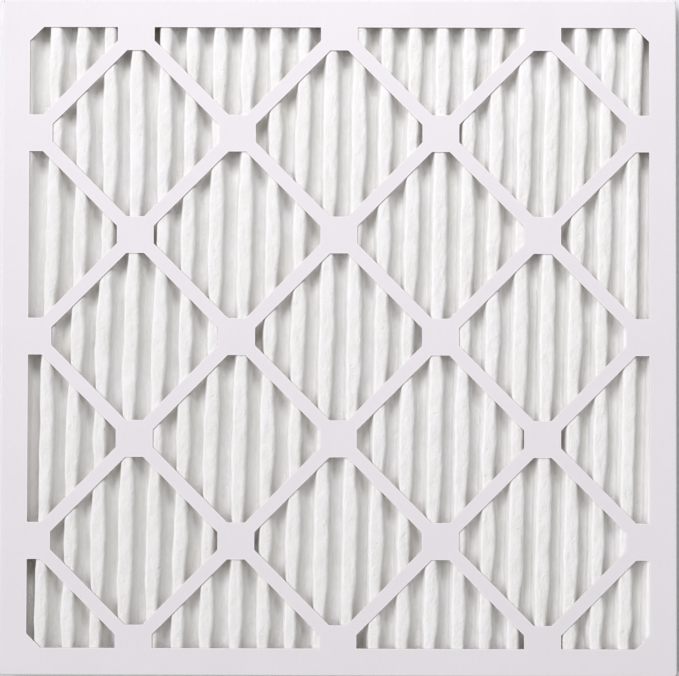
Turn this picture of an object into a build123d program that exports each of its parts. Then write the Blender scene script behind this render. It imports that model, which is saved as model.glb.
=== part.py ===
from build123d import *
import os
from math import atan, atan2, ceil, degrees, floor, radians, sin, tan

# Pleated panel air filter, nominal 20 x 20 x 1 inch, made one size under so that it slides into its slot.
# Two die-cut card halves are folded into shallow trays. One nests in the other, and they close over a
# pleated nonwoven sheet backed by a wire grid, which hot-melt adhesive seals to the card on all four sides.
# The filter lies on its air-leaving face. X runs across the pleats, Y along them, and Z up through the
# air-entering face. The origin is under the middle of the filter, on the plane it lies on. Millimetres.

# Overall size
WIDTH = 495.3               # across the pleats
LENGTH = 495.3              # along the pleats
DEPTH = 19.05               # from face to face

# Card blanks
CARD = 0.7                  # thickness of the board
CREASE_INSIDE = 0.5         # inside radius of every fold
GLUE_LINE = 0.15            # glue between two layers of card
EDGE_SETBACK = 0.3          # how far a cut edge stops short of the outside of the tray
NESTING_ROOM = 1.0          # from the rear half's flap edges to the back of the front face
CORNER_TAB = 28.0           # glue tab that turns each corner of a tray
TAB_RELIEF = 0.4            # the tab starts this far under the crease of the end flap

# Die-cut lattice of both faces
BORDER = 20.1               # card left around the field of openings
LATTICE_PITCH = 74.7        # from one crossing to the next opening's middle, along X and Y
BAR_WIDTH = 9.9            # diagonal bars, measured across the bar
PAD_SIZE = 27.0             # square pad where two bars cross
CORNER_GUSSET = 10.3        # card kept across each corner of the field

# Pleated sheet
MEDIA = 2.4                 # thickness of the lofted nonwoven
PLEAT_PITCH = 20.25         # from ridge to ridge
RIDGE_WIDTH = 10.0          # a ridge, outside, where its flanks meet its top
VALLEY_WIDTH = 10.0         # the same on the air-leaving side
FOLD_RADIUS = 3.2           # outside of each fold; inside it the sheet creases sharply
PLEAT_LEAN = 1.2            # degrees that the pleats lean from Y, as they were laid into the tray
TIP_CLEARANCE = 0.3         # pleat tips and wires to the back of the card

# Wire grid on the air-leaving side
WIRE = 0.7                  # wire thickness
WIRE_CLEARANCE = 0.1        # between the sheet and the wires
WIRE_SPACING = 76.2         # bent wires, along the pleats

# Hot-melt adhesive
SEAL = 1.2                  # thickness between the sheet and the card
SEAL_CLEARANCE = 0.15       # all round the seals
SIDE_SEAL_HEIGHT = 7.0      # beads along the first and last folds

# Worked out from the sizes above
BEND = CREASE_INSIDE + CARD                          # outside radius of a fold
LAYER = CARD + GLUE_LINE                             # one more layer of card, with its glue
REAR_WIDTH = WIDTH - 2 * LAYER                       # nests in the side flaps of the front half
REAR_LENGTH = LENGTH - 4 * LAYER                     # nests in its end flaps and the tabs behind them
ROOM_X = REAR_WIDTH / 2 - CARD                       # half the room between the rear side flaps
ROOM_Y = REAR_LENGTH / 2 - CARD - LAYER              # half the room between the rear corner tabs
PACK_X = ROOM_X - SEAL - 2 * SEAL_CLEARANCE          # half the width of the sheet, tails included
PACK_Y = ROOM_Y - SEAL - 2 * SEAL_CLEARANCE          # half the length of the sheet
MEDIA_TOP = DEPTH - CARD - TIP_CLEARANCE
MEDIA_BOTTOM = CARD + TIP_CLEARANCE + WIRE + WIRE_CLEARANCE
RISE = MEDIA_TOP - MEDIA_BOTTOM - MEDIA              # of the line at the middle of the sheet
MID_Z = (MEDIA_TOP + MEDIA_BOTTOM) / 2
SWAY = 2 * PACK_Y * abs(tan(radians(PLEAT_LEAN)))    # of a leaning pleat, from end to end
PLEATS = floor((2 * PACK_X - SWAY - RIDGE_WIDTH) / PLEAT_PITCH) + 1
PACK_LENGTH = 2 * PACK_Y + 2 * SWAY                  # longer than the room, before it is cut square
# A flank slopes by half of what the ridge and the valley leave of a pitch, and a line drawn parallel to
# the sheet widens the ridges and narrows the valleys by CORNER_SHIFT for each millimetre it moves up.
FLANK = atan((PLEAT_PITCH - RIDGE_WIDTH - VALLEY_WIDTH + 2 * MEDIA) / 2 / (RISE + MEDIA))
CORNER_SHIFT = tan(radians(45) - FLANK / 2)


def creased_flap(reach):
    """Section of a right-angle fold: from the end of a flat panel, round the crease, to a flap's edge."""
    outside = CenterArc((0, -BEND), BEND, 0, 90)
    inside = CenterArc((0, -BEND), CREASE_INSIDE, 0, 90)
    flap = Polyline((BEND, -BEND), (BEND, -reach), (CREASE_INSIDE, -reach), (CREASE_INSIDE, -BEND))
    return make_face(outside + inside + flap + Line((0, 0), (0, -CARD)))


def lattice_openings():
    """All openings of a face: squares on their corners, cut off by the pads and by the edge of the field."""
    half_diamond = LATTICE_PITCH * sin(radians(45)) - BAR_WIDTH / 2
    diamond = Rot(0, 0, 45) * Rectangle(2 * half_diamond, 2 * half_diamond)
    cell = diamond & Rectangle(2 * LATTICE_PITCH - PAD_SIZE, 2 * LATTICE_PITCH - PAD_SIZE)
    field = Rectangle(WIDTH - 2 * BORDER, LENGTH - 2 * BORDER)
    field = chamfer(field.vertices(), CORNER_GUSSET)
    reach_x = ceil((WIDTH / 2 - BORDER) / LATTICE_PITCH)
    reach_y = ceil((LENGTH / 2 - BORDER) / LATTICE_PITCH)
    openings = []
    for i in range(-reach_x, reach_x + 1):
        for j in range(-reach_y, reach_y + 1):
            if (i + j) % 2 == 0:
                opening = (Pos(i * LATTICE_PITCH, j * LATTICE_PITCH) * cell) & field
                openings.extend(face for face in opening.faces() if face.area > BAR_WIDTH**2)
    return openings


def folded_tray(width, length, flap):
    """One card blank folded into a tray, with its face up at Z = 0 and its four flaps below it."""
    tab_outside = length / 2 - LAYER
    tab_top = BEND + TAB_RELIEF
    face = Rectangle(width - 2 * BEND, length - 2 * BEND) - lattice_openings()
    panel = extrude(face, -CARD)

    side_start = Plane(origin=(width / 2 - BEND, 0, 0), x_dir=(1, 0, 0), z_dir=(0, -1, 0))
    side = extrude(side_start * creased_flap(flap), tab_outside - BEND, both=True)

    tab_start = Plane(origin=(width / 2, tab_outside - BEND, -tab_top), x_dir=(0, 1, 0), z_dir=(0, 0, -1))
    tab = extrude(tab_start * creased_flap(CORNER_TAB), flap - tab_top)
    side += tab + mirror(tab, Plane.XZ)

    end_start = Plane(origin=(0, length / 2 - BEND, 0), x_dir=(0, 1, 0), z_dir=(1, 0, 0))
    end = extrude(end_start * creased_flap(flap), width / 2 - BEND, both=True)
    end_flap = Box(width - 2 * EDGE_SETBACK, CARD, flap - tab_top, align=(Align.CENTER, Align.MAX, Align.MIN))
    end += Pos(0, length / 2, -flap) * end_flap
    return panel + side + mirror(side, Plane.YZ) + end + mirror(end, Plane.XZ)


def front_frame():
    """Outer card half, on the air-entering side. Its flaps reach down to the air-leaving face."""
    return Pos(0, 0, DEPTH) * folded_tray(WIDTH, LENGTH, DEPTH - EDGE_SETBACK)


def rear_frame():
    """Inner card half, turned over, with its flaps up inside those of the outer half."""
    return Rot(180, 0, 0) * folded_tray(REAR_WIDTH, REAR_LENGTH, DEPTH - CARD - NESTING_ROOM)


def pleat_corners(offset):
    """Corners of a line parallel to the sheet, offset up from its middle, with a flat tail at each end."""
    ridge = RIDGE_WIDTH / 2 + (offset - MEDIA / 2) * CORNER_SHIFT
    valley = VALLEY_WIDTH / 2 - (offset + MEDIA / 2) * CORNER_SHIFT
    top = MID_Z + RISE / 2 + offset
    bottom = MID_Z - RISE / 2 + offset
    tail = PACK_X + SWAY
    corners = [(-tail, bottom)]
    for pleat in range(PLEATS):
        x = (pleat - (PLEATS - 1) / 2) * PLEAT_PITCH
        foot = PLEAT_PITCH / 2 - valley
        corners += [(x - foot, bottom), (x - ridge, top), (x + ridge, top), (x + foot, bottom)]
    return corners + [(tail, bottom)]


def sheet_section():
    """Section of the pleated sheet, with each fold rounded on its outside."""
    front_radii = [0, FOLD_RADIUS, FOLD_RADIUS, 0] * PLEATS
    rear_radii = [FOLD_RADIUS, 0, 0, FOLD_RADIUS] * PLEATS
    front = FilletPolyline(*pleat_corners(MEDIA / 2), radius=front_radii)
    rear = FilletPolyline(*pleat_corners(-MEDIA / 2), radius=rear_radii)
    return band(front, rear)


def band(upper, lower):
    """The face between two lines."""
    return make_face(upper + lower + Line(upper @ 0, lower @ 0) + Line(upper @ 1, lower @ 1))


def along_pleats(section, length):
    """A section, drawn as X and Z, carried straight along the pleats, half of it each way."""
    return extrude(Plane.XZ * section, length / 2, both=True)


def laid_in(pack):
    """Pieces of the pack, turned by the lean of the pleats and cut square with the tray."""
    room = Box(2 * PACK_X, 2 * PACK_Y, DEPTH, align=(Align.CENTER, Align.CENTER, Align.MIN))
    return [(Rot(0, 0, -PLEAT_LEAN) * piece) & room for piece in pack]


def pleated_media():
    """The nonwoven sheet, pleated, with its tails and pleat ends cut square with the tray."""
    return laid_in([along_pleats(sheet_section(), PACK_LENGTH)])[0]


def bent_wires():
    """Wires bent to the pleats, at even steps along them."""
    line = -(MEDIA / 2 + WIRE_CLEARANCE + WIRE / 2)
    upper = Polyline(*pleat_corners(line + WIRE / 2))
    lower = Polyline(*pleat_corners(line - WIRE / 2))
    bent = along_pleats(band(upper, lower), WIRE)
    count = floor((2 * PACK_Y - WIRE) / WIRE_SPACING)
    return [Pos(0, (row - (count - 1) / 2) * WIRE_SPACING, 0) * bent for row in range(count)]


def straight_wires():
    """Wires along the pleats, welded under the bent ones at the middle of each flank."""
    corners = pleat_corners(-(MEDIA / 2 + WIRE_CLEARANCE + 3 * WIRE / 2))
    wires = []
    for start, end in zip(corners[1::2], corners[2::2]):
        slope = degrees(atan2(end[1] - start[1], end[0] - start[0]))
        middle = Pos((start[0] + end[0]) / 2, (start[1] + end[1]) / 2)
        wires.append(along_pleats(middle * Rot(0, 0, slope) * Rectangle(WIRE, WIRE), PACK_LENGTH))
    return wires


def wire_backing():
    """The welded grid behind the sheet."""
    return Compound(laid_in(bent_wires() + straight_wires()))


def end_seal():
    """Adhesive across the pleat ends: a strip in front of the corner tabs, thicker between them."""
    height = DEPTH - CARD - NESTING_ROOM - BEND
    on_base = (Align.CENTER, Align.MIN, Align.MIN)
    strip = Box(2 * PACK_X, SEAL, height, align=on_base)
    between_tabs = REAR_WIDTH - 2 * CORNER_TAB - 2 * SEAL_CLEARANCE
    strip += Box(between_tabs, SEAL + LAYER, height, align=on_base)
    return Pos(0, PACK_Y + SEAL_CLEARANCE, BEND) * strip


def side_seal():
    """Adhesive bead between the outer edge of the sheet and a side flap."""
    on_base = (Align.MIN, Align.CENTER, Align.MIN)
    bead = Box(SEAL, 2 * PACK_Y, SIDE_SEAL_HEIGHT, align=on_base)
    return Pos(PACK_X + SEAL_CLEARANCE, 0, BEND) * bead


head_seal = end_seal()
right_seal = side_seal()
PIECES = {
    "front_frame": front_frame(),
    "rear_frame": rear_frame(),
    "pleated_media": pleated_media(),
    "wire_backing": wire_backing(),
    "head_seal": head_seal,
    "foot_seal": mirror(head_seal, Plane.XZ),
    "left_seal": mirror(right_seal, Plane.YZ),
    "right_seal": right_seal,
}

os.makedirs("parts", exist_ok=True)
for name, piece in PIECES.items():
    export_step(piece, f"parts/{name}.step")
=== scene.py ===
import logging
import math
from dataclasses import dataclass, field
from enum import Enum

import bpy
import numpy as np
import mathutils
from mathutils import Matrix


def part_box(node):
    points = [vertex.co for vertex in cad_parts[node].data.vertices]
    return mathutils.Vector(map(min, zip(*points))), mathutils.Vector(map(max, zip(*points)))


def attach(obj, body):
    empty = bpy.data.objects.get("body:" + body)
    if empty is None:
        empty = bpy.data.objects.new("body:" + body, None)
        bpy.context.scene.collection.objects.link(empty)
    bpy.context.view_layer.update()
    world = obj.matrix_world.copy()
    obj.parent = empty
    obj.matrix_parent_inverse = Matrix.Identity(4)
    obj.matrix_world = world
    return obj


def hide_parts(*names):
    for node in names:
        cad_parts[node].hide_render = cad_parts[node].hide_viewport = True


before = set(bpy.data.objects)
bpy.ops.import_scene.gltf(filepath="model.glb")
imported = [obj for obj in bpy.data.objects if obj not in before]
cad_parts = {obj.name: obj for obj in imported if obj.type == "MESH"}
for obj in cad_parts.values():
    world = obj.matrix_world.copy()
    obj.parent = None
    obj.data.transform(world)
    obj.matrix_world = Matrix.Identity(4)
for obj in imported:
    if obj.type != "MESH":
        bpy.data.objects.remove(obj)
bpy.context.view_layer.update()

# Looks of a pleated panel air filter that lies on its air-leaving face: a die-cut card frame round
# a pleated nonwoven sheet on a wire grid. X runs across the pleats, Y along them, and Z up through
# the air-entering face. Sizes of the filter are in millimetres and those of the studio in metres,
# and so are the meshes.

LOG = logging.getLogger("pleated_panel_filter")
MM = 0.001
Colour = tuple[float, float, float]             # red, green and blue, linear
Vector = tuple[float, float, float]             # X, Y and Z
Waves = tuple[tuple[float, float], ...]         # wavelength and height of each sine, mm
Socket = bpy.types.NodeSocket
Input = float | tuple | Socket                  # what a node's input takes


class Side(Enum):
    """The two sides of a ridge, by the direction in which X leaves its middle."""

    LEFT = -1
    RIGHT = 1


class Half(Enum):
    """The two card halves of the frame, by CAD node."""

    FRONT = "front_frame"
    REAR = "rear_frame"


def smoothstep(x: np.ndarray) -> np.ndarray:
    """Returns 3t^2 - 2t^3, where t is x held between 0 and 1."""
    t = np.clip(x, 0.0, 1.0)
    return t * t * (3.0 - 2.0 * t)


def lerp(a: np.ndarray | float, b: np.ndarray | float, t: np.ndarray | float) -> np.ndarray:
    """Returns a + (b - a) t."""
    return a + (b - a) * t


def extent(node: str) -> tuple[np.ndarray, np.ndarray]:
    """Returns a CAD node's lowest and highest corners in millimetres, to a thousandth."""
    low, high = (np.round(np.array(corner) / MM, 3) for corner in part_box(node))
    return low, high


# ------------------------------------------------------------------------------------ node graphs


class Graph:
    """Short names for the nodes that the finishes share."""

    def __init__(self, name: str) -> None:
        """Starts an empty material with one principled shader.

        Args:
            name: the material's name.
        """
        self.material = bpy.data.materials.new(name)
        self.material.use_nodes = True
        self.tree = self.material.node_tree
        self.tree.nodes.clear()
        self.shader = self.tree.nodes.new("ShaderNodeBsdfPrincipled")
        output = self.tree.nodes.new("ShaderNodeOutputMaterial")
        self.link(self.shader.outputs["BSDF"], output.inputs["Surface"])

    def link(self, source: Socket, target: Socket) -> None:
        """Joins an output to an input."""
        self.tree.links.new(source, target)

    def feed(self, target: Socket, value: Input) -> None:
        """Gives an input a constant, or the output of another node.

        Args:
            target: the input.
            value: a number, a tuple or an output socket.
        """
        if isinstance(value, Socket):
            self.link(value, target)
        else:
            target.default_value = value

    def position(self) -> Socket:
        """Returns the place on the object, in metres."""
        return self.tree.nodes.new("ShaderNodeTexCoord").outputs["Object"]

    def scaled(self, vector: Socket, scale: Vector) -> Socket:
        """Returns a vector times a scale on each axis."""
        node = self.tree.nodes.new("ShaderNodeMapping")
        node.inputs["Scale"].default_value = scale
        self.link(vector, node.inputs["Vector"])
        return node.outputs["Vector"]

    def noise(
        self, vector: Socket, scale: float, detail: float = 2.0, rough: float = 0.5
    ) -> Socket:
        """Adds fractal noise.

        Args:
            vector: where it is read.
            scale: cycles per metre.
            detail: how many finer layers it has.
            rough: how strong each finer layer is.

        Returns:
            The noise, about 0.5.
        """
        node = self.tree.nodes.new("ShaderNodeTexNoise")
        node.inputs["Scale"].default_value = scale
        node.inputs["Detail"].default_value = detail
        node.inputs["Roughness"].default_value = rough
        self.link(vector, node.inputs["Vector"])
        return node.outputs["Fac"]

    def spots(self, vector: Socket, scale: float) -> Socket:
        """Returns the distance to the nearest of scattered points, in cells of 1/scale metre."""
        node = self.tree.nodes.new("ShaderNodeTexVoronoi")
        node.inputs["Scale"].default_value = scale
        self.link(vector, node.inputs["Vector"])
        return node.outputs["Distance"]

    def math(self, operation: str, *values: Input) -> Socket:
        """Returns an arithmetic operation on up to three values."""
        node = self.tree.nodes.new("ShaderNodeMath")
        node.operation = operation
        for socket, value in zip(node.inputs, values):
            self.feed(socket, value)
        return node.outputs["Value"]

    def ramp(
        self, value: Input, low: float, high: float, start: float = 0.0, end: float = 1.0
    ) -> Socket:
        """Carries a value smoothly from one range to another.

        Args:
            value: what is carried.
            low: the value that becomes start.
            high: the value that becomes end.
            start: the result at low and below.
            end: the result at high and above.

        Returns:
            The result.
        """
        node = self.tree.nodes.new("ShaderNodeMapRange")
        node.interpolation_type = "SMOOTHSTEP"
        for name, number in (
            ("From Min", low), ("From Max", high), ("To Min", start), ("To Max", end)
        ):
            node.inputs[name].default_value = number
        self.feed(node.inputs["Value"], value)
        return node.outputs["Result"]

    def spread(self, noise: Socket, half: float, start: float = 0.0, end: float = 1.0) -> Socket:
        """Spreads noise over a range.

        Args:
            noise: the noise, which lies about 0.5.
            half: how far from 0.5 it reaches either end.
            start: the result at 0.5 - half and below.
            end: the result at 0.5 + half and above.

        Returns:
            The result.
        """
        return self.ramp(noise, 0.5 - half, 0.5 + half, start, end)

    def mix(self, factor: Input, a: Input, b: Input) -> Socket:
        """Returns colour a where the factor is 0 and colour b where it is 1."""
        node = self.tree.nodes.new("ShaderNodeMix")
        node.data_type = "RGBA"
        self.feed(node.inputs[0], factor)
        for socket, value in ((node.inputs[6], a), (node.inputs[7], b)):
            self.feed(socket, (*value, 1.0) if isinstance(value, tuple) else value)
        return node.outputs[2]

    def bump(self, height: Input, distance: float, strength: float = 1.0) -> None:
        """Raises the surface by a height between 0 and 1 times a distance in metres.

        Args:
            height: the height.
            distance: metres for a height of 1.
            strength: how much of it shows.
        """
        node = self.tree.nodes.new("ShaderNodeBump")
        node.inputs["Strength"].default_value = strength
        node.inputs["Distance"].default_value = distance
        self.feed(node.inputs["Height"], height)
        self.link(node.outputs["Normal"], self.shader.inputs["Normal"])

    def set(self, **values: Input) -> None:
        """Sets the shader's own inputs, named in lower case with _ for a space.

        Args:
            **values: a constant or an output socket for each input.
        """
        for name, value in values.items():
            title = " ".join(word.capitalize() for word in name.split("_"))
            title = title.replace("Ior", "IOR")
            if isinstance(value, tuple):
                value = (*value, 1.0)
            self.feed(self.shader.inputs[title], value)


# ------------------------------------------------------------------------------------ the lattice


@dataclass(frozen=True)
class Lattice:
    """Die-cut diagonal lattice of the card faces, in millimetres from the middle of the face."""

    pitch: float = 74.7                # from a crossing to the next, along X and along Y
    bar: float = 9.9                   # width of a bar
    pad: float = 27.0                  # side of the square at each crossing
    field_x: float = 227.55            # from the middle to the border, along X
    field_y: float = 227.55            # and along Y
    gusset: float = 10.3               # along each border from the corner

    def clearance(self, x: np.ndarray, y: np.ndarray) -> np.ndarray:
        """How far a point is from the nearest card edge: above 0 in an opening, else below 0.

        With a = (x + y)/sqrt2 and b = (x - y)/sqrt2 wrapped to the cell of the bars, the distance
        is the least of those to the two pairs of bars, to the pads' sides, to the border and to
        its corner gussets.

        Args:
            x: places across the pleats.
            y: places along the pleats.

        Returns:
            Millimetres, one for each place.
        """
        step = math.sqrt(2.0) * self.pitch
        apothem = (step - self.bar) / 2.0
        a = (x + y) / math.sqrt(2.0)
        b = (x - y) / math.sqrt(2.0)
        col, row = np.round(a / step), np.round(b / step)
        a, b = a - col * step, b - row * step
        u, v = (a + b) / math.sqrt(2.0), (a - b) / math.sqrt(2.0)
        bars = apothem - np.maximum(np.abs(a), np.abs(b))
        pads = self.pitch - self.pad / 2.0 - np.maximum(np.abs(u), np.abs(v))
        border = np.minimum(self.field_x - np.abs(x), self.field_y - np.abs(y))
        corner = self.field_x + self.field_y - self.gusset - np.abs(x) - np.abs(y)
        return np.minimum.reduce([bars, pads, border, corner / math.sqrt(2.0)])

    def shade(self, g: Graph, x: Input, y: Input) -> Socket:
        """The same distance, worked out by a material.

        Args:
            g: the material's graph.
            x: place across the pleats, metres.
            y: place along the pleats, metres.

        Returns:
            Metres.
        """
        root = math.sqrt(0.5)
        step = self.pitch / root * MM

        def least(p: Input, q: Input) -> Socket:
            """Returns the lower of two values."""
            return g.math("MINIMUM", p, q)

        def inside(limit: float, *values: Input) -> Socket:
            """Returns a limit in mm less the greatest of the values, whatever their signs."""
            sizes = [g.math("ABSOLUTE", value) for value in values]
            greatest = sizes[0] if len(sizes) == 1 else g.math("MAXIMUM", *sizes)
            return g.math("SUBTRACT", limit * MM, greatest)

        a = g.math("MULTIPLY", g.math("ADD", x, y), root)
        b = g.math("MULTIPLY", g.math("SUBTRACT", x, y), root)
        a, b = (g.math("WRAP", value, step / 2, -step / 2) for value in (a, b))
        u = g.math("MULTIPLY", g.math("ADD", a, b), root)
        v = g.math("MULTIPLY", g.math("SUBTRACT", a, b), root)
        bars = inside((self.pitch / root - self.bar) / 2, a, b)
        pads = inside(self.pitch - self.pad / 2, u, v)
        border = least(inside(self.field_x, x), inside(self.field_y, y))
        sum_xy = g.math("ADD", g.math("ABSOLUTE", x), g.math("ABSOLUTE", y))
        corner = g.math("SUBTRACT", (self.field_x + self.field_y - self.gusset) * MM, sum_xy)
        return least(least(bars, pads), least(border, g.math("MULTIPLY", corner, root)))


# --------------------------------------------------------------------------------------- finishes


@dataclass(frozen=True)
class CardFinish:
    """Coated board: a white outside skin on a brown core, split by the depth below the skin.

    The depth of a point is the least of its distances from the face plane and from the outside of
    the side and end flaps. A narrow band round each opening is paler: a painted highlight, standing
    in for the light that the rounded cut edges catch.
    """

    name: str
    face_z: float                       # height of the outside of the face, mm
    up: float                           # 1 if the face looks up, -1 if it looks down
    half_width: float                   # mm
    half_length: float                  # mm
    skin: float = 0.42                  # how deep the white goes, mm
    fade: float = 0.02                  # half the depth over which it turns brown, mm
    edge: float = 0.95                  # width of the painted highlight band, mm
    edge_full: float = 0.3              # share of it where the painted highlight is strongest
    white: Colour = (0.845, 0.822, 0.846)
    dull: float = 0.972                 # darkest white, as a share of white
    # painted highlight: the paler colour of the band round the openings
    painted_edge_highlight: Colour = (0.925, 0.905, 0.925)
    brown: Colour = (0.445, 0.279, 0.150)
    dark: float = 0.80                  # darkest brown, as a share of brown
    clouds: float = 22.0                # cycles per metre
    grain: float = 420.0
    flecks: float = 1500.0
    drawn: Vector = (1.0, 0.35, 1.0)    # the grain is longer along Y
    cloud_share: float = 0.6            # of the changes in the white; the grain has the rest
    fleck_height: float = 0.35          # of the relief, next to the grain
    relief: float = 0.00004             # metres
    rough: tuple[float, float] = (0.46, 0.85)       # the skin and the core
    shine: float = 0.4

    def build(self, lattice: Lattice) -> bpy.types.Material:
        """Makes the material.

        Args:
            lattice: the openings, for the painted highlight band round them.

        Returns:
            The material.
        """
        g = Graph(self.name)
        place = g.position()
        split = g.tree.nodes.new("ShaderNodeSeparateXYZ")
        g.link(place, split.inputs[0])
        x, y, z = split.outputs
        below = g.math("MULTIPLY", g.math("SUBTRACT", self.face_z * MM, z), self.up)
        inside_x = g.math("SUBTRACT", self.half_width * MM, g.math("ABSOLUTE", x))
        inside_y = g.math("SUBTRACT", self.half_length * MM, g.math("ABSOLUTE", y))
        depth = g.math("MINIMUM", below, g.math("MINIMUM", inside_x, inside_y))
        core = g.ramp(depth, (self.skin - self.fade) * MM, (self.skin + self.fade) * MM)
        cloud = g.noise(place, self.clouds, detail=3.0)
        grain = g.noise(g.scaled(place, self.drawn), self.grain)
        flecks = g.noise(place, self.flecks, detail=1.0)
        tone = g.math(
            "ADD",
            g.spread(cloud, 0.2, end=self.cloud_share),
            g.spread(grain, 0.2, end=1.0 - self.cloud_share),
        )
        duller = tuple(c * self.dull for c in self.white)
        darker = tuple(c * self.dark for c in self.brown)
        clear = lattice.shade(g, x, y)
        # painted highlight: the white turns paler within about a millimetre of each opening's edge
        band = g.ramp(clear, -self.edge * MM, -self.edge_full * self.edge * MM)
        white = g.mix(band, g.mix(tone, duller, self.white), self.painted_edge_highlight)
        brown = g.mix(g.spread(flecks, 0.15), darker, self.brown)
        g.set(
            base_color=g.mix(core, white, brown),
            roughness=g.ramp(core, 0.0, 1.0, *self.rough),
            specular_ior_level=self.shine,
        )
        g.bump(g.math("ADD", grain, g.math("MULTIPLY", flecks, self.fleck_height)), self.relief)
        return g.material


@dataclass(frozen=True)
class NonwovenFinish:
    """Lofted polyester web: white, matt, with clumps of fibre, fine fuzz and small dimples."""

    name: str = "nonwoven"
    white: Colour = (0.950, 0.944, 0.945)
    thin: Colour = (0.900, 0.897, 0.863)
    clumps: float = 150.0               # cycles per metre
    drawn: Vector = (1.0, 0.5, 1.0)     # the clumps are longer along Y
    fuzz: float = 700.0
    patches: float = 28.0
    dimples: float = 75.0               # cells per metre
    rim: tuple[float, float] = (0.03, 0.11)         # a dimple's floor and rim, in cells
    clump_share: float = 0.55           # of the changes in tone; the patches have the rest
    dimple_tone: float = 0.2            # what a dimple leaves of the white
    clump_height: float = 0.7           # of the relief
    fuzz_height: float = 0.25
    dimple_height: float = 0.12
    relief: float = 0.0026              # metres
    show: float = 0.85                  # how much of the relief shows
    shine: float = 0.15

    def build(self) -> bpy.types.Material:
        """Returns the material."""
        g = Graph(self.name)
        place = g.position()
        clumps = g.noise(g.scaled(place, self.drawn), self.clumps, detail=3.0, rough=0.55)
        fuzz = g.noise(place, self.fuzz, detail=3.0, rough=0.7)
        patches = g.noise(place, self.patches)
        dimples = g.ramp(g.spots(place, self.dimples), *self.rim)
        tone = g.math(
            "ADD",
            g.spread(clumps, 0.18, end=self.clump_share),
            g.spread(patches, 0.2, end=1.0 - self.clump_share),
        )
        tone = g.math("MULTIPLY", tone, g.ramp(dimples, 0.0, 1.0, self.dimple_tone, 1.0))
        g.set(
            base_color=g.mix(tone, self.thin, self.white),
            roughness=0.95,
            sheen_weight=0.10,
            sheen_roughness=0.6,
            specular_ior_level=self.shine,
        )
        height = g.math("MULTIPLY", clumps, self.clump_height)
        for layer, share in ((fuzz, self.fuzz_height), (dimples, self.dimple_height)):
            height = g.math("ADD", height, g.math("MULTIPLY", layer, share))
        g.bump(height, self.relief, self.show)
        return g.material


@dataclass(frozen=True)
class WireFinish:
    """Zinc-coated steel wire, a little cloudy."""

    name: str = "galvanised_wire"
    zinc: Colour = (0.60, 0.61, 0.62)
    dull: Colour = (0.42, 0.43, 0.44)
    clouds: float = 350.0               # cycles per metre
    rough: tuple[float, float] = (0.30, 0.48)       # least and greatest

    def build(self) -> bpy.types.Material:
        """Returns the material."""
        g = Graph(self.name)
        cloud = g.noise(g.position(), self.clouds, detail=3.0)
        g.set(
            base_color=g.mix(g.spread(cloud, 0.15), self.dull, self.zinc),
            metallic=0.9,
            roughness=g.spread(cloud, 0.2, *self.rough),
        )
        return g.material


@dataclass(frozen=True)
class AdhesiveFinish:
    """Set hot-melt adhesive: cream, waxy."""

    name: str = "hot_melt"
    cream: Colour = (0.80, 0.76, 0.64)
    lumps: float = 260.0                # cycles per metre
    relief: float = 0.0006              # metres

    def build(self) -> bpy.types.Material:
        """Returns the material."""
        g = Graph(self.name)
        g.set(base_color=self.cream, roughness=0.35)
        g.bump(g.noise(g.position(), self.lumps), self.relief)
        return g.material


@dataclass(frozen=True)
class FloorFinish:
    """Plain matt table."""

    name: str = "floor"
    pale: Colour = (0.80, 0.81, 0.81)
    shine: float = 0.2

    def build(self) -> bpy.types.Material:
        """Returns the material."""
        g = Graph(self.name)
        g.set(base_color=self.pale, roughness=0.9, specular_ior_level=self.shine)
        return g.material


def dress(node: bpy.types.Object, material: bpy.types.Material) -> None:
    """Puts one material on every slot of a CAD node, whose mesh stays as it is.

    Args:
        node: the CAD node's object.
        material: the finish.
    """
    if not node.data.materials:
        node.data.materials.append(material)
    for index in range(len(node.data.materials)):
        node.data.materials[index] = material


# -------------------------------------------------------------------------------------- the sheet


MOST_OF_SIDE = 0.48     # share of a side that one corner's rounding may take


def bezier(start: np.ndarray, corner: np.ndarray, end: np.ndarray, steps: int) -> np.ndarray:
    """Rounds a corner: (1-t)^2 start + 2t(1-t) corner + t^2 end, at even steps of t.

    Args:
        start: where the rounding starts, shape (..., 2).
        corner: the sharp corner.
        end: where it ends.
        steps: how many points.

    Returns:
        Points of shape (..., steps, 2).
    """
    t = np.linspace(0.0, 1.0, steps)[:, None]
    p, q, r = (v[..., None, :] for v in (start, corner, end))
    return (1 - t) ** 2 * p + 2 * t * (1 - t) * q + t**2 * r


def rounded(
    points: list[np.ndarray], reach: tuple[float, ...], steps: tuple[int, ...]
) -> np.ndarray:
    """A line through points, with each corner cut back by its reach and rounded.

    Args:
        points: corners in order, each of shape (..., 2), the ends included.
        reach: how far each inner corner's rounding goes along both its sides.
        steps: points on each inner corner's rounding.

    Returns:
        Points of shape (..., total, 2), without the two end points.
    """
    parts = []
    for index, (back, count) in enumerate(zip(reach, steps), start=1):
        here = points[index]
        before, after = points[index - 1] - here, points[index + 1] - here
        length_before = np.linalg.norm(before, axis=-1, keepdims=True)
        length_after = np.linalg.norm(after, axis=-1, keepdims=True)
        start = here + before * np.minimum(back / length_before, MOST_OF_SIDE)
        end = here + after * np.minimum(back / length_after, MOST_OF_SIDE)
        parts.append(bezier(start, here, end, count))
    return np.concatenate(parts, axis=-2)


def section(x: np.ndarray, z: np.ndarray | float) -> np.ndarray:
    """Puts X and Z together as points of the sections, on a last axis of 2."""
    return np.stack(np.broadcast_arrays(x, z), axis=-1)


@dataclass(frozen=True)
class Zone:
    """A change along a line: none of it up to start, and all of it from start + over on, in mm."""

    start: float
    over: float

    def share(self, x: np.ndarray) -> np.ndarray:
        """Returns smoothstep((x - start)/over)."""
        return smoothstep((x - self.start) / self.over)


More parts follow.
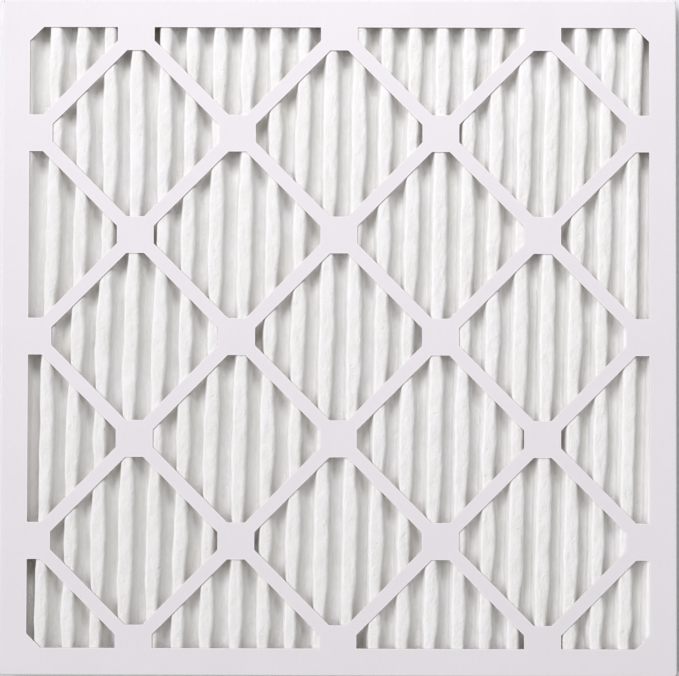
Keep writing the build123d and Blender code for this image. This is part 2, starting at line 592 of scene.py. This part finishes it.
@dataclass(frozen=True)
class Unevenness:
    """How the pleats depart from straight and even ones, in millimetres."""

    ridges: Waves = ((300.0, 0.32), (140.0, 0.24), (70.0, 0.15))
    sides: Waves = ((55.0, 0.22), (31.0, 0.16), (17.0, 0.08))
    floors: Waves = ((95.0, 0.16), (48.0, 0.12))
    rear_feet: Waves = ((90.0, 0.10), (47.0, 0.08))
    crinkles: Waves = ((38.0, 0.85), (25.0, 0.45))
    crinkle_x: Zone = Zone(165.0, 50.0)             # X of the crinkled corner
    crinkle_y: Zone = Zone(120.0, 70.0)             # its -Y
    sizes: tuple[float, float] = (0.5, 1.3)         # range of the factor on each pleat's sines
    offset: float = 0.45                            # most that a whole ridge is moved
    drift: float = 1.8                              # how far the ridges lie over to the right
    drift_x: Zone = Zone(-120.0, 150.0)             # X from which they do so at any Y
    left_x: Zone = Zone(90.0, 90.0)                 # -X from which they do so on a stretch of Y
    left_start: Zone = Zone(-60.0, 160.0)           # Y from which that stretch runs
    left_end: Zone = Zone(-195.0, 60.0)             # -Y down to which it runs
    last_drift: float = 0.7                         # how much further the last two lie over
    last_x: Zone = Zone(190.0, 25.0)                # X of those


@dataclass
class PleatedSheet:
    """The nonwoven sheet, folded into pleats that lean a little and are pinched under the card.

    Every section across the pleats is the same chain of folds, and its numbers change along Y: the
    middle of each ridge wanders, each side of a ridge stands off its middle by a width that grows
    with the distance from the card, and the tips belly out in the openings.
    """

    lattice: Lattice
    uneven: Unevenness = Unevenness()
    node: str = "pleated_media"
    pleats: int = 24
    pitch: float = 20.25
    lean: float = 1.2                  # degrees
    floor: float = 4.2                 # height of the valley floors, air-entering side
    cavity_top: float = 15.65          # height of the cavities behind the ridges
    pinched: dict[Side, float] = field(default_factory=lambda: {Side.LEFT: 4.7, Side.RIGHT: 3.6})
    full: float = 6.0                  # half a ridge's width in the middle of an opening
    nominal: float = 5.0               # the same before the ridges were pinched or opened
    foot: float = 7.18                 # half a ridge's width at the valley floor
    cavity: float = 2.94               # half the width of the cavity behind a ridge
    rear_foot: float = 5.125           # the same at the foot of the flanks
    least: float = 0.6                 # thinnest the web gets at the tips
    least_foot: float = 0.25           # how far a front foot stays outside the rear one
    belly: float = 0.24                # how much a tip rises in an opening
    crest: float = 2.2                 # from a ridge's middle to its highest line, to the left
    crown: float = 0.10                # how much higher that line is than the shoulders
    crown_open: float = 0.25           # how much more so in an opening
    ceiling: float = 18.5              # height that it stays under
    follow: float = 0.9                # share of a ridge's shift that its feet make too
    lift: float = 0.6                  # rise of the rear valleys for each mm that they narrow
    tail: float = 0.4                  # least length of a tail
    front_reach: tuple[float, ...] = (1.9, 2.0, 1.0, 5.0, 2.6)      # of the folds' rounding
    front_steps: tuple[int, ...] = (4, 5, 1, 7, 4)
    rear_reach: tuple[float, ...] = (2.4, 0.3, 0.3, 2.4)
    rear_steps: tuple[int, ...] = (5, 2, 2, 5)
    relax: float = 21.0                # distance from the card over which a pleat opens out
    rows: int = 113                    # sections along Y
    seed: int = 11
    half_x: float = field(init=False)  # to the tails' cut edges
    half_y: float = field(init=False)  # to the pleats' cut ends
    top: float = field(init=False)     # height of the tips under the card
    bottom: float = field(init=False)  # height of the valleys, air-leaving side
    middles: np.ndarray = field(init=False)

    def __post_init__(self) -> None:
        """Takes the outside from the CAD sheet, and works out each ridge's middle at Y = 0."""
        low, high = extent(self.node)
        self.half_x, self.half_y, self.top = high
        self.bottom = low[2]
        self.middles = (np.arange(self.pleats) - (self.pleats - 1) / 2.0) * self.pitch

    def lines(self) -> np.ndarray:
        """Returns the Y of every section, evenly spaced."""
        return np.linspace(-self.half_y, self.half_y, self.rows)

    def wander(self, y: np.ndarray, waves: Waves, draw: np.random.Generator) -> np.ndarray:
        """A sum of sines along Y, each with a phase and a size of its own for every pleat.

        Args:
            y: shape (rows, 1).
            waves: the sines.
            draw: where the phases and the sizes come from.

        Returns:
            Offsets of shape (rows, pleats), mm.
        """
        total = np.zeros((y.shape[0], self.pleats))
        for wavelength, height in waves:
            phase = draw.uniform(0, 2 * np.pi, self.pleats)
            size = height * draw.uniform(*self.uneven.sizes, self.pleats)
            total += size * np.sin(2 * np.pi * y / wavelength + phase)
        return total

    def cavity_middles(self, y: np.ndarray) -> np.ndarray:
        """Returns the middle of each cavity at each Y: k pitch + y tan(lean)."""
        return self.middles + y * math.tan(math.radians(self.lean))

    def ridge_middles(self, y: np.ndarray, draw: np.random.Generator) -> np.ndarray:
        """Where the middle of each ridge is at each Y.

        x = the cavity's middle + an offset for each ridge + long waves + a drift to the right, on
        the right-hand half and a stretch of the left-hand side + crinkles near one corner.

        Args:
            y: shape (rows, 1).
            draw: random numbers.

        Returns:
            Shape (rows, pleats), mm.
        """
        uneven = self.uneven
        x = self.cavity_middles(y) + draw.uniform(-uneven.offset, uneven.offset, self.pleats)
        x = x + self.wander(y, uneven.ridges, draw)
        left = uneven.left_x.share(-self.middles)
        drift = uneven.drift_x.share(self.middles)
        drift = drift + left * uneven.left_start.share(y) * uneven.left_end.share(-y)
        x = x + uneven.drift * drift + uneven.last_drift * uneven.last_x.share(self.middles)
        crinkle = self.wander(y, uneven.crinkles, draw)
        return x + crinkle * uneven.crinkle_x.share(self.middles) * uneven.crinkle_y.share(-y)

    def opened(self, x: np.ndarray, y: np.ndarray) -> np.ndarray:
        """How far a place is out of the card's grip: 0 at the card, 1 well inside an opening."""
        return smoothstep(self.lattice.clearance(x, y) / self.relax)

    def side_widths(
        self, x: np.ndarray, y: np.ndarray, side: Side, draw: np.random.Generator
    ) -> np.ndarray:
        """Half-widths of the ridges on one side, each by its own distance from the card.

        Args:
            x: ridge middles, shape (rows, pleats).
            y: shape (rows, 1).
            side: which side of the ridge.
            draw: random numbers.

        Returns:
            Shape (rows, pleats), mm.
        """
        free = self.opened(x + side.value * self.full, y)
        return lerp(self.pinched[side], self.full, free) + self.wander(y, self.uneven.sides, draw)

    def valley_middles(self, left: np.ndarray, right: np.ndarray) -> tuple[np.ndarray, np.ndarray]:
        """The middles of the valleys on both sides of each ridge, or where a tail starts.

        Args:
            left: the ridges' left feet, shape (rows, pleats).
            right: their right feet.

        Returns:
            The middles on the left, and those on the right.
        """
        start = (left + np.roll(right, 1, axis=1)) / 2
        end = (right + np.roll(left, -1, axis=1)) / 2
        start[:, 0] = left[:, 0] - self.tail / 2
        end[:, -1] = right[:, -1] + self.tail / 2
        return start, end

    def front(self, y: np.ndarray, draw: np.random.Generator) -> np.ndarray:
        """The air-entering surface.

        A pleat runs valley, left foot, left shoulder, crest, right shoulder, right foot, valley.
        Its shoulders stand off the ridge's own middle by their half-widths, its feet off the
        middle of its cavity plus most of the ridge's shift, and its corners are rounded.

        Args:
            y: Y of the sections, shape (rows,).
            draw: random numbers.

        Returns:
            X and Z, shape (rows, columns, 2).
        """
        column = y[:, None]
        fixed = self.cavity_middles(column)
        middle = self.ridge_middles(column, draw)
        left = middle - self.side_widths(middle, column, Side.LEFT, draw)
        right = middle + self.side_widths(middle, column, Side.RIGHT, draw)
        left = np.minimum(left, fixed - self.cavity - self.least)
        right = np.maximum(right, fixed + self.cavity + self.least)
        free = self.opened(middle, column)
        top = self.top + self.belly * free
        floor = self.floor + self.wander(column, self.uneven.floors, draw)
        slack = self.follow * (middle - fixed)
        limit = self.half_x - self.tail
        foot_left = np.minimum(fixed - self.foot + slack, fixed - self.rear_foot - self.least_foot)
        foot_left = np.maximum(foot_left, -limit)
        foot_right = np.minimum(fixed + self.foot + slack, limit)
        start, end = self.valley_middles(foot_left, foot_right)
        crown = np.minimum(top + self.crown + self.crown_open * free, self.ceiling)
        corners = [
            section(start, floor), section(foot_left, floor), section(left, top),
            section(middle - self.crest, crown), section(right, top),
            section(foot_right, floor), section(end, floor),
        ]
        chain = rounded(corners, self.front_reach, self.front_steps)
        return self.with_tails(chain.reshape(y.size, -1, 2), self.floor)

    def rear(self, y: np.ndarray, draw: np.random.Generator) -> np.ndarray:
        """The air-leaving surface, which keeps clear of the wires.

        A pleat runs valley, left foot, both corners of the cavity's flat top, right foot, valley.
        Its feet stand off the middle by a half-width that only ever grows, and as a valley
        narrows it rises.

        Args:
            y: Y of the sections, shape (rows,).
            draw: random numbers.

        Returns:
            X and Z, shape (rows, columns, 2).
        """
        column = y[:, None]
        fixed = self.cavity_middles(column)
        shrink = np.abs(self.wander(column, self.uneven.rear_feet, draw))
        limit = self.half_x - self.tail
        foot_left = np.maximum(fixed - self.rear_foot - shrink, -limit)
        foot_right = np.minimum(fixed + self.rear_foot + shrink, limit)
        start, end = self.valley_middles(foot_left, foot_right)
        bottom = self.bottom + self.lift * shrink
        corners = [
            section(start, bottom), section(foot_left, bottom),
            section(fixed - self.cavity, self.cavity_top),
            section(fixed + self.cavity, self.cavity_top),
            section(foot_right, bottom), section(end, bottom),
        ]
        chain = rounded(corners, self.rear_reach, self.rear_steps)
        return self.with_tails(chain.reshape(y.size, -1, 2), self.bottom)

    def with_tails(self, chain: np.ndarray, height: float) -> np.ndarray:
        """Adds the cut edge of the tail at each end of a surface.

        Args:
            chain: X and Z, shape (rows, columns, 2).
            height: Z of the tails.

        Returns:
            The same with one more column at each end.
        """
        left, right = (
            np.broadcast_to((x, height), (chain.shape[0], 1, 2))
            for x in (-self.half_x, self.half_x)
        )
        return np.concatenate([left, chain, right], axis=1)

    def cap(self, front: int, rear: int) -> np.ndarray:
        """Triangles that close one end: a strip between the front line and the rear line.

        Front column i stands over rear column round(i (rear - 1)/(front - 1)).

        Args:
            front: columns of the front surface.
            rear: columns of the rear surface, which follow them in the ring, in reverse.

        Returns:
            Indices in the ring, shape (triangles, 3).
        """
        over = np.round(np.arange(front) * (rear - 1) / (front - 1)).astype(int)
        ring = front + rear - 1 - over
        i = np.arange(front - 1)
        fans = np.stack([i, i + 1, ring[i]], axis=1)
        moved = over[1:] > over[:-1]
        steps = np.stack([i + 1, ring[i + 1], ring[i]], axis=1)[moved]
        return np.concatenate([fans, steps])

    def build(self, finish: NonwovenFinish) -> bpy.types.Object:
        """Each section is a ring, the front line and then the rear one in reverse, and quads join it
        to the next. A strip of triangles closes each end.

        Args:
            finish: its finish.

        Returns:
            The object.
        """
        draw = np.random.default_rng(self.seed)
        y = self.lines()
        front, rear = self.front(y, draw), self.rear(y, draw)
        ring = np.concatenate([front, rear[:, ::-1]], axis=1)
        rows, columns = ring.shape[:2]
        points = np.empty((rows, columns, 3))
        points[..., 0], points[..., 1], points[..., 2] = ring[..., 0], y[:, None], ring[..., 1]
        r, c = np.meshgrid(np.arange(rows - 1), np.arange(columns), indexing="ij")
        here, beside = r * columns + c, r * columns + (c + 1) % columns
        quads = np.stack([here, beside, beside + columns, here + columns], axis=-1).reshape(-1, 4)
        near = self.cap(front.shape[1], rear.shape[1])
        far = near[:, ::-1] + (rows - 1) * columns
        sheet = mesh_object(
            "pleated_sheet", points.reshape(-1, 3) * MM, [quads, np.concatenate([near, far])],
            smooth=[True, False],
        )
        sheet.data.materials.append(finish.build())
        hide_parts(self.node)
        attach(sheet, "root")
        return sheet


def mesh_object(
    name: str, points: np.ndarray, faces: list[np.ndarray], smooth: list[bool]
) -> bpy.types.Object:
    """Makes a mesh object at the origin from arrays.

    Args:
        name: the object's name.
        points: shape (n, 3), metres.
        faces: groups of faces, each of shape (m, corners).
        smooth: whether each group is smooth.

    Returns:
        The object, linked to the scene.
    """
    mesh = bpy.data.meshes.new(name)
    sizes = np.concatenate([np.full(len(group), group.shape[1]) for group in faces])
    loops = np.concatenate([group.reshape(-1) for group in faces])
    mesh.vertices.add(len(points))
    mesh.vertices.foreach_set("co", points.astype(np.float32).ravel())
    mesh.loops.add(len(loops))
    mesh.loops.foreach_set("vertex_index", loops.astype(np.int32))
    mesh.polygons.add(len(sizes))
    starts = np.concatenate([[0], np.cumsum(sizes)[:-1]])
    mesh.polygons.foreach_set("loop_start", starts.astype(np.int32))
    mesh.update(calc_edges=True)
    flags = np.concatenate([np.full(len(g), s) for g, s in zip(faces, smooth)])
    mesh.polygons.foreach_set("use_smooth", flags)
    mesh.validate()
    thing = bpy.data.objects.new(name, mesh)
    bpy.context.scene.collection.objects.link(thing)
    return thing


# ------------------------------------------------------------------------------- the rigid pieces


@dataclass
class CardFrame:
    """The two card halves, which keep their CAD meshes."""

    lattice: Lattice
    up: dict[Half, float] = field(default_factory=lambda: {Half.FRONT: 1.0, Half.REAR: -1.0})

    def build(self) -> None:
        """Dresses both halves in coated board, with the skin outside: face plane and flaps."""
        for half, up in self.up.items():
            low, high = extent(half.value)
            face = high[2] if up > 0 else low[2]
            finish = CardFinish(f"{half.name.lower()}_card", face, up, high[0], high[1])
            dress(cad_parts[half.value], finish.build(self.lattice))
            LOG.info("%s: %s", half.value, finish.name)


@dataclass
class WireGrid:
    """The welded wire grid behind the sheet, which keeps its CAD mesh."""

    node: str = "wire_backing"

    def build(self, finish: WireFinish) -> None:
        """Dresses the wires.

        Args:
            finish: their finish.
        """
        dress(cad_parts[self.node], finish.build())
        LOG.info("%s: %s", self.node, finish.name)


@dataclass
class Seals:
    """The adhesive along the four sides of the sheet, which keeps its CAD meshes."""

    nodes: tuple[str, ...] = ("head_seal", "foot_seal", "left_seal", "right_seal")

    def build(self, finish: AdhesiveFinish) -> None:
        """Dresses the four seals in one finish.

        Args:
            finish: their finish.
        """
        material = finish.build()
        for name in self.nodes:
            dress(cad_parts[name], material)
            LOG.info("%s: %s", name, finish.name)


# -------------------------------------------------------------------------------------- the studio


@dataclass
class Studio:
    """Table, light and camera, in metres."""

    floor_size: float = 12.0
    floor_drop: float = 0.0002                        # from the object to the table
    sun_from: Vector = (-1.0, 0.20, 1.32)
    sun_strength: float = 1.84                        # watts per square metre
    sun_angle: float = 42.0                           # degrees
    top_place: Vector = (-0.05, 0.95, 1.02)
    top_size: float = 0.55
    top_power: float = 7.1                            # watts
    ambient: float = 0.243
    key_colour: Colour = (1.0, 0.987, 1.043)
    ambient_colour: Colour = (1.0, 1.0, 0.918)
    camera_place: Vector = (0.00464, -0.02438, 1.19292)
    camera_turn: Vector = (1.147, 0.191, 0.153)       # degrees
    lens: float = 85.0                                # mm
    sensor: float = 36.0                              # mm

    def floor(self, finish: FloorFinish) -> None:
        """Makes the table, just under the object.

        Args:
            finish: its finish.
        """
        s, z = self.floor_size / 2, -self.floor_drop
        points = np.array([(-s, -s, z), (s, -s, z), (s, s, z), (-s, s, z)])
        table = mesh_object("floor", points, [np.array([[0, 1, 2, 3]])], [False])
        table.data.materials.append(finish.build())

    def light(
        self, name: str, kind: str, energy: float, colour: Colour, place: Vector
    ) -> bpy.types.Light:
        """Makes a light that points at the origin.

        Args:
            name: its name.
            kind: SUN or AREA.
            energy: its strength.
            colour: its colour.
            place: where it stands.

        Returns:
            Its data, for what only one kind has.
        """
        data = bpy.data.lights.new(name, kind)
        data.energy = energy
        data.color = colour
        lamp = bpy.data.objects.new(name, data)
        bpy.context.scene.collection.objects.link(lamp)
        lamp.location = place
        lamp.rotation_euler = vector_euler(-np.array(place))
        return data

    def lights(self) -> None:
        """Makes a soft key from the left, a near one above the head end, and ambient light."""
        sun = self.light("key", "SUN", self.sun_strength, self.key_colour, self.sun_from)
        sun.angle = math.radians(self.sun_angle)
        top = self.light("head_light", "AREA", self.top_power, self.key_colour, self.top_place)
        top.shape = "DISK"
        top.size = self.top_size
        world = bpy.data.worlds.new("studio")
        bpy.context.scene.world = world
        world.use_nodes = True
        background = world.node_tree.nodes["Background"]
        background.inputs["Color"].default_value = (*self.ambient_colour, 1.0)
        background.inputs["Strength"].default_value = self.ambient

    def camera(self) -> None:
        """Makes the camera, looking down on the air-entering face."""
        data = bpy.data.cameras.new("camera")
        data.lens = self.lens
        data.sensor_width = self.sensor
        camera = bpy.data.objects.new("camera", data)
        bpy.context.scene.collection.objects.link(camera)
        camera.location = self.camera_place
        camera.rotation_euler = [math.radians(turn) for turn in self.camera_turn]
        bpy.context.scene.camera = camera
        bpy.context.scene.view_settings.view_transform = "Standard"

    def build(self) -> None:
        """Makes everything round the object."""
        self.floor(FloorFinish())
        self.lights()
        self.camera()
        LOG.info("studio: floor, key light, head light, ambient light, camera")


def vector_euler(direction: np.ndarray) -> tuple[float, float, float]:
    """Turns that point a light's -Z along a direction.

    Args:
        direction: X, Y and Z, of any length.

    Returns:
        Angles about X, Y and Z, radians.
    """
    x, y, z = direction / np.linalg.norm(direction)
    return (math.acos(-z), 0.0, math.atan2(-x, y))


def main() -> None:
    """Builds every piece in order."""
    logging.basicConfig(level=logging.INFO, format="%(name)s: %(message)s")
    lattice = Lattice()
    CardFrame(lattice).build()
    PleatedSheet(lattice).build(NonwovenFinish())
    WireGrid().build(WireFinish())
    Seals().build(AdhesiveFinish())
    Studio().build()


if __name__ == "__main__":
    main()
